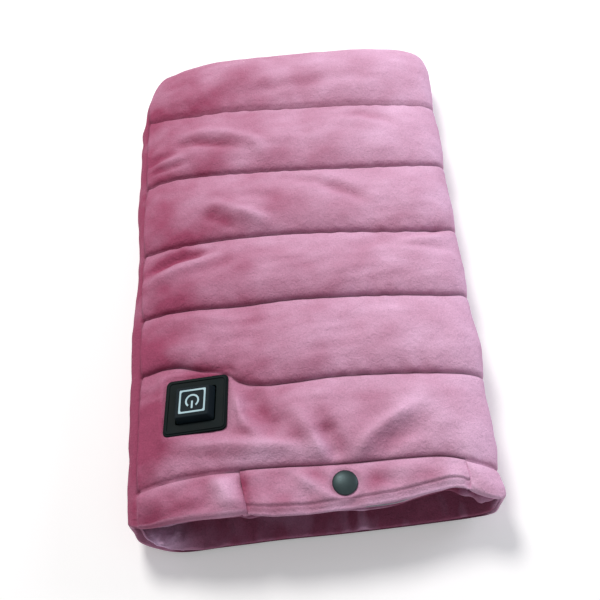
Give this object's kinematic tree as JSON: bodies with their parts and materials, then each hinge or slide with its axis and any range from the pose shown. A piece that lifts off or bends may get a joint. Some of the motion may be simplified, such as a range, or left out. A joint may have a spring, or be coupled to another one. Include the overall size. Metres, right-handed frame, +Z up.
{
  "type": "rechargeable hand warmer",
  "caption": "Quilted plush hand-warming pouch with an open mouth, heating sheets, a push switch on the front and a snapped pocket with a battery pack.",
  "frame": {"origin": "middle of the footprint's box, on the surface that the pouch lies on", "axes": "+Y from the open mouth to the closed end, +Z up through the front panel, +X to the right seen from the mouth"},
  "size_m": [0.22, 0.38, 0.0528],
  "materials": {
    "shell_plush": "short-pile mauve-pink plush",
    "lining_plush": "short-pile plush in the shell's colour, in shade",
    "wadding": "polyester wadding",
    "taffeta": "grey polyester taffeta",
    "snap_metal": "dark grey-green satin plating",
    "bright_metal": "nickel plating",
    "switch_plastic": "moulded black",
    "pale_print": "pale cyan print and diffusers",
    "circuit_board": "solder mask green",
    "heating_sheet": "dark non-woven carbon cloth",
    "wire_jacket": "red silicone jacket",
    "cable_jacket": "black moulded jacket",
    "battery_plastic": "fine-textured white",
    "cell_foil": "foil pouch"
  },
  "bodies": {
    "pouch": {"front_shell": "shell_plush", "back_shell": "shell_plush", "front_wadding": "wadding", "back_wadding": "wadding", "front_lining": "lining_plush", "back_lining": "lining_plush", "side_seam_tape": "taffeta", "pocket_bag": "taffeta", "pocket_facing": "taffeta", "snap_stud": "bright_metal", "snap_rivet": "bright_metal", "switch_bezel": "switch_plastic", "switch_board": "circuit_board", "switch_cover": "switch_plastic", "tact_housing": "bright_metal", "indicator_led": "pale_print", "front_heating_sheet": "heating_sheet", "back_heating_sheet": "heating_sheet", "front_heating_wire": "wire_jacket", "back_heating_wire": "wire_jacket", "temperature_sensor": "switch_plastic", "sensor_lead": "wire_jacket", "back_wire_splice": "switch_plastic", "back_heater_lead": "wire_jacket", "plug_lead": "cable_jacket", "plug_grip": "cable_jacket", "plug_shell": "bright_metal", "plug_tongue": "battery_plastic", "battery_case_top": "battery_plastic", "battery_case_bottom": "battery_plastic", "battery_board": "circuit_board", "battery_cell": "cell_foil", "battery_usb_socket": "bright_metal", "charging_port": "bright_metal", "battery_lights": "pale_print"},
    "flap": {"pocket_flap": "shell_plush", "snap_cap": "snap_metal", "snap_socket": "bright_metal"},
    "key": {"switch_key": "switch_plastic", "icon_frame": "pale_print", "icon_arc": "pale_print", "icon_bar": "pale_print", "tact_stem": "pale_print"},
    "charge_button": {"battery_button": "switch_plastic"}
  },
  "joints": [
    {"name": "flap_hinge", "type": "hinge", "parent": "pouch", "child": "flap", "pos_m": [0.0225, -0.163, 0.04472], "axis": [-1, 0, 0], "range_deg": [0, 60]},
    {"name": "key_press", "type": "slide", "parent": "pouch", "child": "key", "axis": [0, -0.0872, -0.9962], "range_m": [0, 0.0008], "stiffness_N_per_m": 1500},
    {"name": "charge_button_press", "type": "slide", "parent": "pouch", "child": "charge_button", "axis": [0, 1, 0], "range_m": [0, 0.0005], "stiffness_N_per_m": 1500}
  ]
}
